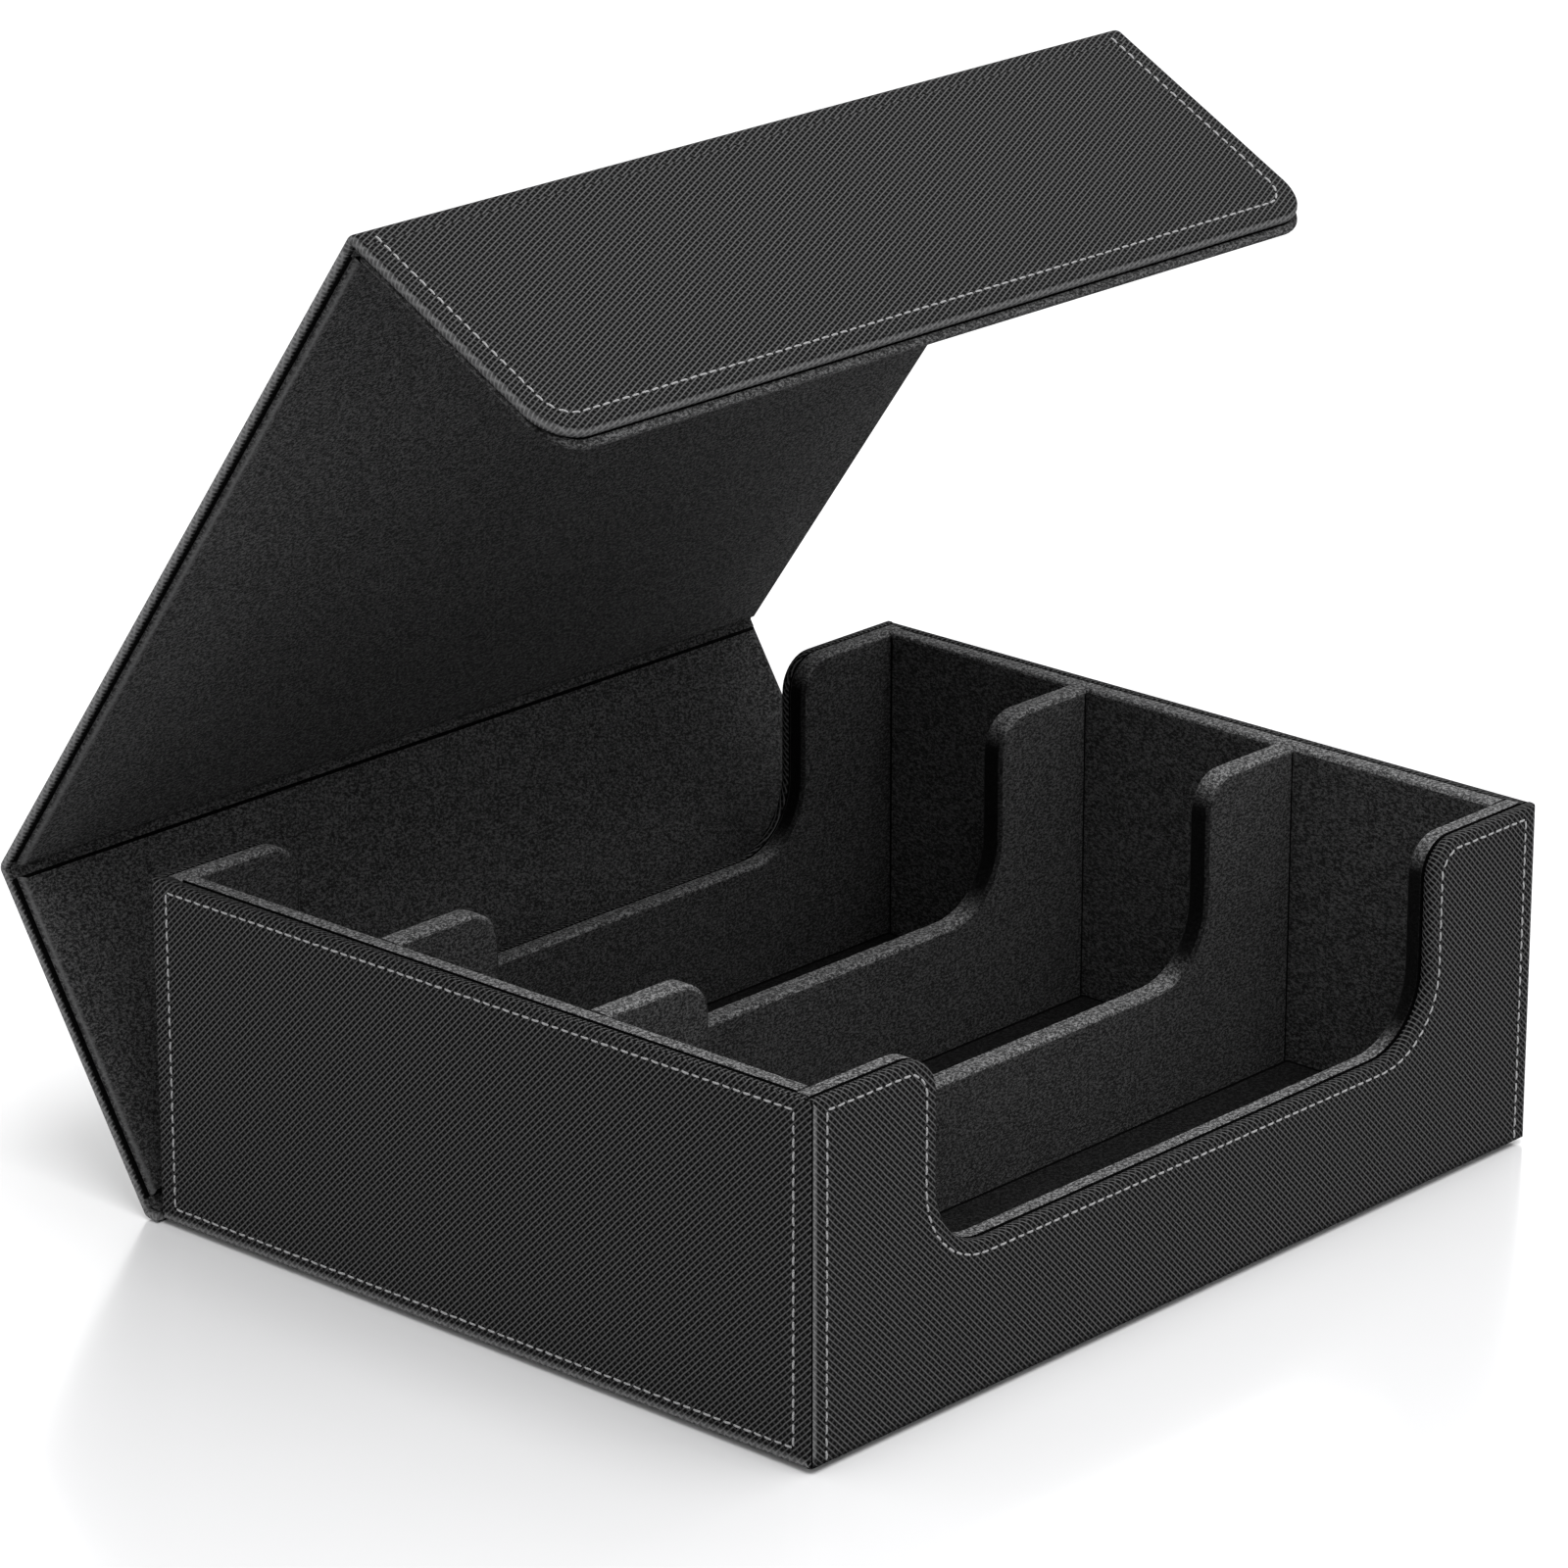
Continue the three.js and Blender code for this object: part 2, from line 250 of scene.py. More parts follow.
# Painted light on the cover's rolled edges, ring by ring: over 0 wear with a painted highlight,
# under 0 painted shade. The turn-in strips get black painted shade.
COVER_WEAR_AND_SHADING = [0.0, -0.7, 0.3, 0.95, 0.9, 0.7, 0.2] + [-1.0] * 6
COVER_SLOTS = [EDGE] * 7 + [DARK] * 5
PANEL_WEAR_AND_SHADING = (1.35, 1.35, 0.75)  # times the wear and painted light, on the back panel, the top panel and the flap

LINING_RINGS = [
    (4.0, 1.2, 5.6),
    (3.2, 0.8, 5.5),
    (2.7, 0.4, 5.2),
    (2.35, 0.15, 4.75),
    (2.1, 0.0, 4.2),
    (2.0, 0.0, 3.8),
    (2.2, 0.0, 3.42),
]
# Painted highlight along the lining's rolled sides, ring by ring.
LINING_HIGHLIGHT = [0.0, 0.35, 1.0, 0.5, 0.0, 0.0, 0.0]
FLAP_LINING_RINGS = [
    (2.6, 1.2, 5.6),
    (1.7, 0.8, 5.5),
    (1.25, 0.4, 5.2),
    (1.05, 0.15, 4.7),
    (1.0, 0.0, 4.3),
    (1.15, 0.0, 3.9),
    (1.6, 0.0, 3.6),
    (3.2, 0.0, 3.45),
    (4.6, 0.0, 3.42),
]
FLAP_LINING_LIP = 3.0  # past the leather's free edge, before the rings' insets
FLAP_LIP_LEVELS = (0.34, 0.62)  # how pale the lip's painted shade leaves it, along its sides and along its free edge

# ---- The base, and the felt floors of the rows: inset and depth ----

BASE_RINGS = [
    (1.6, 0.0),
    (0.75, 0.25),
    (0.25, 0.75),
    (0.0, 1.5),
    (0.0, 3.2),
    (0.8, 3.2),
    (0.8, 0.8),
]
# Wear with a painted highlight along the base's rolled edge, ring by ring.
BASE_WEAR_AND_HIGHLIGHT = [0.0, 0.3, 0.8, 1.0, 0.0, 0.0, 0.0]
FLOOR_RINGS = [(1.8, 0.0), (0.7, 0.0), (0.45, 0.15), (0.2, 0.4), (0.0, 0.8)]

# ---- Sewing, in millimetres ----

STITCH_PITCH = 3.55
STITCH_LENGTH = 2.55
STITCH_RADIUS = 0.32
STITCH_RISE = 0.12
STITCH_FLATNESS = 0.8
STITCH_JITTER = 0.09
STITCH_LENGTH_SPREAD = (0.94, 1.06)
STITCH_RADIUS_SPREAD = (0.92, 1.08)
STITCH_SIDES = 6

# Along one stitch: the share of its length, its height over the leather and its fullness.
STITCH_SPINE = [
    (-0.5, -1.0, 0.55),
    (-0.42, -0.2, 0.9),
    (-0.15, 0.9, 1.0),
    (0.15, 0.9, 1.0),
    (0.42, -0.2, 0.9),
    (0.5, -1.0, 0.55),
]

# How far the sewn lines lie from the edges.
STITCH_TOP = 3.4
STITCH_DIP_SIDE = 4.4
STITCH_SIDE_WALL_END = 5.4
STITCH_SIDE_WALL_FOOT = 1.0
STITCH_END_WALL_END = 6.4
STITCH_END_WALL_FOOT = 4.6
STITCH_COVER = 6.4
STITCH_CORNER_RADIUS = 5.0
STITCH_OVERRUN = 2.6

# ---- Weave of the leather: pitches in millimetres, and directions across the ribs ----

RIB_PITCH = 1.35
BRIDGE_PITCH = 1.95
RIB_SIDE = math.radians(45)
RIB_END = math.radians(-45)
RIB_COVER = math.radians(67)


# ---- One piece's mesh ----


class Shell:
    """Points and faces of one piece. A point has a place on the weave and a share of edge wear and
    painted light.
    """

    def __init__(self, placed, rib_angle=0.0):
        self.placed = placed
        self.rib = (math.cos(rib_angle), math.sin(rib_angle))
        self.points = []
        self.weave = []
        self.wear_and_shading = []
        self.faces = []

    def add(self, points, flat=None, wear_and_shading=0.0):
        """Points are (across, along, depth); flat is where each lies on the unrolled sheet."""
        first = len(self.points)
        flat = flat or points
        self.wear_and_shading += wear_and_shading if isinstance(wear_and_shading, list) else [wear_and_shading] * len(points)
        for point, spot in zip(points, flat):
            self.points.append(self.placed @ Vector(point) * METRE)
            across = spot[0] * self.rib[0] + spot[1] * self.rib[1]
            along = spot[1] * self.rib[0] - spot[0] * self.rib[1]
            self.weave.append((across, along))
        return list(range(first, len(self.points)))

    def face(self, ring, slot=PLAIN, smooth=False):
        self.faces.append((ring, slot, smooth))

    def strip(self, one, two, closed=True, slots=None):
        count = len(one) if closed else len(one) - 1
        for k in range(count):
            following = (k + 1) % len(one)
            ring = [one[k], one[following], two[following], two[k]]
            self.face(ring, slots[k] if slots else PLAIN, True)

    def build(self, name, materials):
        mesh = bpy.data.meshes.new(name)
        mesh.from_pydata(self.points, [], [ring for ring, slot, smooth in self.faces])
        for material in materials:
            mesh.materials.append(material)
        layer = mesh.uv_layers.new(name="weave")
        for polygon, (ring, slot, smooth) in zip(mesh.polygons, self.faces):
            polygon.material_index = slot
            polygon.use_smooth = smooth
            for loop, point in zip(polygon.loop_indices, ring):
                layer.data[loop].uv = self.weave[point]
        attribute = mesh.attributes.new("wear_and_shading", "FLOAT", "POINT")
        attribute.data.foreach_set("value", self.wear_and_shading)
        face_outward(mesh)
        piece = bpy.data.objects.new(name, mesh)
        bpy.context.scene.collection.objects.link(piece)
        return piece


def face_outward(mesh):
    """Turns every face to the outside, and keeps edges sharp where the surface really turns."""
    work = bmesh.new()
    work.from_mesh(mesh)
    bmesh.ops.recalc_face_normals(work, faces=work.faces)
    work.to_mesh(mesh)
    work.free()
    mesh.set_sharp_from_angle(angle=SHARP_ANGLE)
    mesh.update()


# ---- Outlines in the plane of a panel ----


def arc(across, along, radius, start, end):
    """Points on an arc, with its angles in quarter turns."""
    angles = [math.pi / 2 * (start + (end - start) * k / ARC_STEPS) for k in range(ARC_STEPS + 1)]
    return [(across + radius * math.cos(a), along + radius * math.sin(a)) for a in angles]


def dipped_path(half, inset, side_inset=None):
    """The top edge of a dipped wall, left to right."""
    high = HEIGHT - inset
    lip = DIP_LIP_RADIUS - inset
    foot = DIP_FOOT_RADIUS + inset
    side = DIP_HALF + (inset if side_inset is None else side_inset)
    floor = DIP_FLOOR - inset
    path = [(-half, high)]
    path += arc(-side - lip, high - lip, lip, 1, 0)
    path += arc(-side + foot, floor + foot, foot, 2, 3)
    path += arc(side - foot, floor + foot, foot, 3, 4)
    path += arc(side + lip, high - lip, lip, 2, 1)
    path.append((half, high))
    return path


def plain_path(half, inset):
    return [(-half, HEIGHT - inset), (half, HEIGHT - inset)]


def wall_loop(path_of, half, low, top, end, foot):
    """The top edge, then down the right end, along the foot and up the left end."""
    right, bottom = half - end, low + foot
    right_corner = [(right, bottom + CORNER_SPAN), (right, bottom)]
    left_corner = [(-right, bottom), (-right, bottom + CORNER_SPAN)]
    return path_of(right, top) + right_corner + left_corner


def panel_loop(half, near, far, radius, side, fold):
    """A cover panel from one fold towards the next, or towards an open edge with round corners."""
    left, right, start = side - half, half - side, near + fold
    if not radius:
        return [(left, start), (right, start), (right, far - fold), (left, far - fold)]
    corner = max(radius - side, SMALLEST_RADIUS)
    loop = [(left, start), (right, start)]
    loop += arc(right - corner, far - side - corner, corner, 0, 1)
    loop += arc(left + corner, far - side - corner, corner, 1, 2)
    return loop


def plate_loop(left, right, low, high, inset):
    left, right = left + inset, right - inset
    low, high = low + inset, high - inset
    return [(left, low), (right, low), (right, high), (left, high)]


def at_depth(outline, depth):
    return [(across, along, depth) for across, along in outline]


def turn_lengths(profile, side=0):
    """How far along the rolled sheet each ring lies from the flat face, on one side of a panel."""
    lengths = [0.0]
    for one, two in zip(profile, profile[1:]):
        lengths.append(lengths[-1] + math.hypot(two[side] - one[side], two[-1] - one[-1]))
    return lengths


# ---- Where panels stand: columns are across, along and depth ----


def placing(across, along, depth, origin):
    placed = Matrix.Identity(4)
    for column, vector in enumerate((across, along, depth, origin)):
        placed.col[column][:3] = Vector(vector)
    return placed


def wall_placing(name):
    across, depth, origin = {
        "front": ((1, 0, 0), (0, 1, 0), (0, -HALF_DEPTH, 0)),
        "right": ((0, 1, 0), (-1, 0, 0), (HALF_LENGTH, 0, 0)),
        "back": ((-1, 0, 0), (0, -1, 0), (0, HALF_DEPTH, 0)),
        "left": ((0, -1, 0), (1, 0, 0), (-HALF_LENGTH, 0, 0)),
    }[name]
    return placing(across, (0, 0, 1), depth, origin)


def cover_placing(index):
    """The panel after fold number index; depth 0 is its outer face."""
    direction = DIRECTIONS[index + 1]
    normal = outward(direction)
    return placing((1, 0, 0), direction, -normal, AXES[index] + normal * COVER / 2)


def finish_piece(piece, body, node):
    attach(piece, body)
    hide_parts(node)


# ---- Lofted plates ----


def loft(shell, loops, flats, depths, wear_and_shadings, slots=None):
    """Skins rings of points from the outer face to the inner one, and closes both ends."""
    rings = []
    for loop, flat, depth, wear_and_shading in zip(loops, flats, depths, wear_and_shadings):
        rings.append(shell.add(at_depth(loop, depth), flat, wear_and_shading))
    shell.face(rings[0])
    for k, (one, two) in enumerate(zip(rings, rings[1:])):
        slot = slots[k] if slots else PLAIN
        shell.strip(one, two, True, slot if isinstance(slot, list) else [slot] * len(one))
    shell.face(rings[-1])


def wall_slots(count, ring, seam, groove, upright):
    """One strip's materials: along the top edge, down one end, along the foot and up the other."""
    # Black painted shade in the seam at the ends and from the groove on at the top.
    top = DARK if ring >= groove else PLAIN
    end = DARK if ring in seam else upright
    return [top] * (count - CORNER_POINTS - 1) + [end, end, EDGE, end, end]


def wall_skin(name, path_of, half, foot_at, rings, rib_angle):
    shell = Shell(wall_placing(name), rib_angle)
    is_end = rings is END_SKIN_RINGS
    foot_wear = END_FOOT_WEAR_AND_SHADING if is_end else SIDE_FOOT_SHADE
    loops = [wall_loop(path_of, half, foot_at, *insets) for *insets, _ in rings]
    sides = range(len(rings[0]) - 1)
    flats = []
    for turns in zip(*(turn_lengths(rings, side) for side in sides)):
        insets = [inset - turn for inset, turn in zip(rings[0], turns)]
        flats.append(wall_loop(path_of, half, foot_at, *insets))
    depths = [ring[3] for ring in rings]
    count = len(loops[0])
    wear_and_shadings = []
    slots = []
    for k in range(len(rings)):
        # Each ring's wear and painted light, on the ends and along the foot.
        upright, low = UPRIGHT_WEAR_AND_HIGHLIGHT[k], foot_wear[k]
        wear_and_shadings.append([upright] * (count - CORNER_POINTS + 1) + [low, low, upright])
        if is_end:
            slots.append(wall_slots(count, k, END_SEAM, END_GROOVE, PLAIN))
        else:
            slots.append(wall_slots(count, k, SIDE_SEAM, SIDE_GROOVE, EDGE))
    loft(shell, loops, flats, depths, wear_and_shadings, slots)
    piece = shell.build(f"{name}_skin", [leather, rolled_leather, painted_shade])
    finish_piece(piece, "tray", f"{name}_wall_leather")


def panel_skin(name, index, near, far, radius):
    shell = Shell(cover_placing(index), RIB_COVER)
    lengths = turn_lengths(COVER_SKIN_RINGS)
    side = COVER_SKIN_RINGS[0][0]
    loops = [panel_loop(COVER_HALF, near, far, radius, s, f) for s, f, _ in COVER_SKIN_RINGS]
    flats = [panel_loop(COVER_HALF, near, far, radius, side - s, 0) for s in lengths]
    depths = [ring[2] for ring in COVER_SKIN_RINGS]
    wear_and_shadings = [wear_and_shading * PANEL_WEAR_AND_SHADING[index] for wear_and_shading in COVER_WEAR_AND_SHADING]
    loft(shell, loops, flats, depths, wear_and_shadings, COVER_SLOTS)
    piece = shell.build(f"{name}_skin", [leather, rolled_leather, painted_shade])
    finish_piece(piece, name, f"{name}_leather")


def panel_lining(name, index, near, far, radius):
    """Felt on a panel's inside, with black painted shade at the folds and a painted highlight
    along its sides. The flap's has a lip round its free edge, in rim felt with painted shade, and
    black painted shade at the fold and against the leather.
    """
    shell = Shell(cover_placing(index))
    rings = FLAP_LINING_RINGS if radius else LINING_RINGS
    reach = far + FLAP_LINING_LIP if radius else far
    loops = [panel_loop(COVER_HALF, near, reach, radius, s, f) for s, f, _ in rings]
    depths = [ring[2] for ring in rings]
    if radius:
        start, end = FLAP_LIP_LEVELS
        rise = [start + (end - start) * k / ARC_STEPS for k in range(ARC_STEPS + 1)]
        levels = [start, start] + rise + rise[::-1]
        # Along the lip, rim felt with painted shade; black painted shade at the fold and against
        # the leather.
        lip = [DARK, PLAIN] + [EDGE] * (2 * ARC_STEPS + 1) + [PLAIN]
        face_edge = [DARK] + [PLAIN] * (len(lip) - 1)
        wear_and_shadings = [levels] * len(rings)
        slots = [face_edge] + [lip] * (len(rings) - 3) + [DARK]
    else:
        wear_and_shadings = LINING_HIGHLIGHT
        slots = [[DARK, PLAIN, DARK, PLAIN]] * (len(rings) - 1)
    loft(shell, loops, loops, depths, wear_and_shadings, slots)
    plain = felt if radius else lining_felt
    piece = shell.build(f"{name}_lining", [plain, rim_felt, painted_shade])
    finish_piece(piece, name, f"{name}_felt")


def base_skin():
    shell = Shell(placing((1, 0, 0), (0, 1, 0), (0, 0, 1), (0, 0, 0)), RIB_COVER)
    sides = (BASE_LOW.x, BASE_HIGH.x, BASE_LOW.y, BASE_HIGH.y)
    loops = [plate_loop(*sides, inset) for inset, _ in BASE_RINGS]
    lengths = turn_lengths(BASE_RINGS)
    flats = [plate_loop(*sides, BASE_RINGS[0][0] - s) for s in lengths]
    depths = [depth for _, depth in BASE_RINGS]
    loft(shell, loops, flats, depths, BASE_WEAR_AND_HIGHLIGHT)
    piece = shell.build("base_skin", [rolled_leather])
    finish_piece(piece, "tray", "base_leather")


def floor_felt(row):
    low, high = box_mm(f"floor_felt_{row}")
    shell = Shell(placing((1, 0, 0), (0, 1, 0), (0, 0, -1), (0, 0, high.z)))
    loops = [plate_loop(low.x, high.x, low.y, high.y, inset) for inset, _ in FLOOR_RINGS]
    depths = [depth for _, depth in FLOOR_RINGS]
    # The floor felt's rolled edges are all black painted shade, as in the seams round it.
    loft(shell, loops, loops, depths, [0.0] * len(loops), [EDGE] * len(loops))
    piece = shell.build(f"row_{row}_floor", [shaded_floor_nap, painted_shade])
    finish_piece(piece, "tray", f"floor_felt_{row}")


# ---- Felt wrapped over boards ----


def rim_shade_levels(path, on_flat):
    """Levels of the rim's painted shade: 1 where the rim is level, 0 where it is upright and
    painted black, as on the two sides of a dip.
    """
    last = len(path) - 1
    levels = []
    for k in range(last + 1):
        before, after = path[max(k - 1, 0)], path[min(k + 1, last)]
        run = abs(after[0] - before[0])
        level = run / math.hypot(run, after[1] - before[1])
        in_lip = path[k][1] > (HEIGHT + DIP_FLOOR) / 2
        levels.append(level if in_lip else level**FOOT_FADE)
    return levels if on_flat else [max(level, RIM_ROLL_LEVEL) for level in levels]


def felt_wrap(shell, path_of, half, low, outer, slots, inner, two_sided):
    """A felt sheet folded over a board's top edge, with a leg down one or both of its faces."""
    leg = FELT_LEG
    tops = []
    for k, (top, side, depth) in enumerate(outer):
        # The rim's painted shade: black where the rim stands upright, as on the sides of a dip,
        # and darker still where a dip's foot rises.
        wear_and_shading = rim_shade_levels(path_of(half, 0), k in FELT_RIM_FLAT)
        tops.append(shell.add(at_depth(path_of(half - side, top), depth), None, wear_and_shading))
    pockets = [shell.add(at_depth(path_of(half - side, top), depth)) for top, side, depth in inner]
    for slot, one, two in zip(slots, tops, tops[1:]):
        shell.strip(one, two, False, [slot] * len(one))
    for one, two in zip(pockets, pockets[1:]):
        shell.strip(one, two, False)
    if not two_sided:
        shell.strip(tops[-1], pockets[0], False)

    last = len(outer) - 1
    legs = [(list(range(leg + 1)), len(inner) - 1)]
    if two_sided:
        legs.append(([last - k for k in range(leg + 1)], 0))
    for order, pocket in legs:
        feet = []
        for sign, end in ((-1, 0), (1, -1)):
            columns = [(sign * (half - outer[k][1]), low, outer[k][2]) for k in order]
            foot = shell.add(columns)
            for k in range(leg - 1):
                ring = [foot[k], tops[order[k]][end], tops[order[k + 1]][end], foot[k + 1]]
                # The sheet's upright ends get black painted shade, as in the corner seams.
                shell.face(ring, DARK)
            rim = [tops[order[leg - 1]][end], tops[order[leg]][end]]
            shell.face([foot[leg - 1]] + rim + [pockets[pocket][end], foot[leg]])
            feet.append(foot)
        shell.face(tops[order[0]] + [feet[1][0], feet[0][0]])
        shell.face(pockets[pocket] + [feet[1][leg], feet[0][leg]])
        shell.face(feet[0] + feet[1][::-1])

    far = last - leg if two_sided else last
    for end in (0, -1):
        shell.face([tops[k][end] for k in range(leg, far + 1)] + [ring[end] for ring in pockets])


def wall_felt(name, path_of, half):
    shell = Shell(wall_placing(name))
    rings = (WALL_FELT_OUTER, WALL_FELT_SLOTS, WALL_FELT_INNER)
    felt_wrap(shell, path_of, half, CORE_LOW, *rings, False)
    piece = shell.build(f"{name}_wrap", [felt, rim_felt, painted_shade])
    finish_piece(piece, "tray", f"{name}_wall_felt")


def divider_felt(index):
    low, _ = box_mm(f"divider_{index}_felt")
    shell = Shell(placing((1, 0, 0), (0, 0, 1), (0, 1, 0), (0, low.y, 0)))
    rings = (DIVIDER_FELT_OUTER, DIVIDER_FELT_SLOTS, DIVIDER_FELT_INNER)
    felt_wrap(shell, dipped_path, ROW_HALF, DIVIDER_LOW, *rings, True)
    piece = shell.build(f"divider_{index}_wrap", [felt, rim_felt, painted_shade])
    finish_piece(piece, "tray", f"divider_{index}_felt")


# ---- Folds ----

# The rolled edge of a fold's leather, inset and depth, like the panels' edges beside it.
FOLD_SECTION = [
    (1.6, 0.0),
    (1.15, 0.07),
    (0.75, 0.22),
    (0.25, 0.7),
    (0.0, 1.4),
    (0.06, 2.1),
    (0.33, 2.7),
]
# The cover edges' wear and painted light go on round the folds.
FOLD_WEAR_AND_SHADING = COVER_WEAR_AND_SHADING[: len(FOLD_SECTION)]
FOLD_ARC_STEPS = 12

# The felt strip in a fold.
FOLD_STRIP_HALF = 150.2
FOLD_STRIP_DEPTHS = (3.35, 3.95)
FOLD_STRIP_FLAT = 1.3
FOLD_STRIP_STEPS = 6


def fold_line(index, depth):
    """Where a sheet at that depth runs from one panel over the outside of the bend to the next."""
    before, after = DIRECTIONS[index], DIRECTIONS[index + 1]
    radius = COVER / 2 - depth
    axis = AXES[index]
    line = [axis - before * FOLD_HALF_GAP * k / 2 + outward(before) * radius for k in (2, 1)]
    for k in range(FOLD_ARC_STEPS + 1):
        normal = outward(turned(before, FOLD_ANGLES[index] * k / FOLD_ARC_STEPS))
        line.append(axis + normal * radius)
    line += [axis + after * FOLD_HALF_GAP * k / 2 + outward(after) * radius for k in (1, 2)]
    return line


def inner_fold_line(index, depth):
    """The same on the inside of the bend, in a curve between the two lining edges."""
    before, after = DIRECTIONS[index], DIRECTIONS[index + 1]
    inside = depth - COVER / 2
    axis = AXES[index]
    one = axis - before * FOLD_STRIP_FLAT - outward(before) * inside
    two = axis + after * FOLD_STRIP_FLAT - outward(after) * inside
    meeting = axis - outward(before) * inside - before * inside * math.tan(FOLD_ANGLES[index] / 2)
    line = [axis - before * FOLD_HALF_GAP - outward(before) * inside]
    for k in range(FOLD_STRIP_STEPS + 1):
        t = k / FOLD_STRIP_STEPS
        line.append(one * (1 - t) ** 2 + meeting * 2 * t * (1 - t) + two * t**2)
    line.append(axis + after * FOLD_HALF_GAP - outward(after) * inside)
    return line


def sheet_over_fold(shell, section, line_of, start_along):
    """Skins a section of (across, depth, unrolled across, wear and painted light) points along the
    bend.
    """
    outer_line = line_of(min(place[1] for place in section))
    alongs = [start_along]
    for one, two in zip(outer_line, outer_line[1:]):
        alongs.append(alongs[-1] + (two - one).length)
    rings = []
    for across, depth, unrolled, wear_and_shading in section:
        line = [(across, point.y, point.z) for point in line_of(depth)]
        flat = [(unrolled, along) for along in alongs]
        rings.append(shell.add(line, flat, wear_and_shading))
    for one, two in zip(rings, rings[1:] + rings[:1]):
        shell.strip(one, two, False)
    shell.face([ring[0] for ring in rings])
    shell.face([ring[-1] for ring in rings])


def blend_fold(piece, node):
    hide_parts(node)
    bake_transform(piece)


def fold_leather(index, start_along):
    name = FOLD_NAMES[index]
    shell = Shell(Matrix.Identity(4), RIB_COVER)
    lengths = turn_lengths(FOLD_SECTION)
    flat_half = COVER_HALF - FOLD_SECTION[0][0]
    left = []
    for (inset, depth), length, wear_and_shading in zip(FOLD_SECTION, lengths, FOLD_WEAR_AND_SHADING):
        left.append((inset - COVER_HALF, depth, -flat_half - length, wear_and_shading * PANEL_WEAR_AND_SHADING[index]))
    right = [(-across, depth, -unrolled, wear_and_shading) for across, depth, unrolled, wear_and_shading in left]
    sheet_over_fold(shell, left[::-1] + right, lambda depth: fold_line(index, depth), start_along)
    piece = shell.build(f"{name}_skin", [rolled_leather])
    line = fold_line(index, 0.0)
    blend_fold(piece, f"{name}_leather")


def fold_felt(index):
    name = FOLD_NAMES[index]
    shell = Shell(Matrix.Identity(4))
    half = FOLD_STRIP_HALF
    shallow, deep = FOLD_STRIP_DEPTHS
    corners = [(-half, shallow), (half, shallow), (half, deep), (-half, deep)]
    section = [(across, depth, 0, 0) for across, depth in corners]
    sheet_over_fold(shell, section, lambda depth: inner_fold_line(index, depth), 0.0)
    piece = shell.build(f"{name}_lining", [felt])
    blend_fold(piece, f"{name}_felt")


# ---- Sewing thread ----


def walk(path, pitch):
    """Evenly spaced places along a path: (across, along, direction)."""
    total = sum(math.dist(one, two) for one, two in zip(path, path[1:]))
    count = max(1, round(total / pitch))
    wanted = [total * (k + 0.5) / count for k in range(count)]
    places = []
    passed = 0.0
    for one, two in zip(path, path[1:]):
        length = math.dist(one, two)
        while wanted and length and wanted[0] <= passed + length:
            share = (wanted.pop(0) - passed) / length
            run, rise = two[0] - one[0], two[1] - one[1]
            places.append((one[0] + run * share, one[1] + rise * share, math.atan2(rise, run)))
        passed += length
    return places


def add_stitch(shell, across, along, angle, chance):
    """One stitch: a short bowed thread that dives into the leather at both ends."""
    angle += chance.uniform(-STITCH_JITTER, STITCH_JITTER)
    length = STITCH_LENGTH * chance.uniform(*STITCH_LENGTH_SPREAD)
    radius = STITCH_RADIUS * chance.uniform(*STITCH_RADIUS_SPREAD)
    ahead = (math.cos(angle), math.sin(angle))
    rings = []
    for share, height, fullness in STITCH_SPINE:
        centre = (across + ahead[0] * length * share, along + ahead[1] * length * share)
        points = []
        for side in range(STITCH_SIDES):
            turn = 2 * math.pi * side / STITCH_SIDES
            aside = radius * fullness * math.cos(turn)
            lift = STITCH_RISE * height + radius * fullness * STITCH_FLATNESS * math.sin(turn)
            points.append((centre[0] - ahead[1] * aside, centre[1] + ahead[0] * aside, -lift))
        rings.append(shell.add(points, [(share * length, side) for side in range(STITCH_SIDES)]))
    shell.face(rings[0], PLAIN, True)
    for one, two in zip(rings, rings[1:]):
        shell.strip(one, two)
    shell.face(rings[-1], PLAIN, True)


def sew(name, placed, body, paths):
    shell = Shell(placed)
    chance = random.Random(f"{SEED}{name}")
    for path in paths:
        for across, along, angle in walk(path, STITCH_PITCH):
            add_stitch(shell, across, along, angle, chance)
    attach(shell.build(name, [thread]), body)


def side_wall_stitches(low):
    """Up one end, along the top and its dip, and down the other end."""
    half = HALF_LENGTH - STITCH_SIDE_WALL_END
    top = dipped_path(half, STITCH_TOP, STITCH_DIP_SIDE)
    return [[(-half, low)] + top + [(half, low)]]


def end_wall_stitches():
    half = HALF_DEPTH - STITCH_END_WALL_END
    low, high = FRONT_FOOT + STITCH_END_WALL_FOOT, HEIGHT - STITCH_TOP
    corners = [(-half, low), (half, low), (half, high), (-half, high), (-half, low)]
    return [[one, two] for one, two in zip(corners, corners[1:])]


def panel_side_stitches(near, far):
    """Along both sides, and on over the straight ends of the folds' leather."""
    half = COVER_HALF - STITCH_COVER
    start, end = near - STITCH_OVERRUN, far + STITCH_OVERRUN
    return [[(sign * half, start), (sign * half, end)] for sign in (-1, 1)]


def flap_stitches(near, far):
    half = COVER_HALF - STITCH_COVER
    end = far - STITCH_COVER
    radius = FLAP_RADIUS - STITCH_CORNER_RADIUS
    start = near - STITCH_OVERRUN
    path = [(half, start)]
    path += arc(half - radius, end - radius, radius, 0, 1)
    path += arc(radius - half, end - radius, radius, 1, 2)
    path.append((-half, start))
    return [path]


# ---- Materials. A ramp's stops are (position, linear grey), and bump distances are in metres ----

MIX_COLOUR_INPUTS = (0, 6, 7)
MIX_COLOUR_OUTPUT = 2
COOLNESS = 1.01  # blue over red and green
BLACK = (0.0, 0.0, 0.0, 1.0)

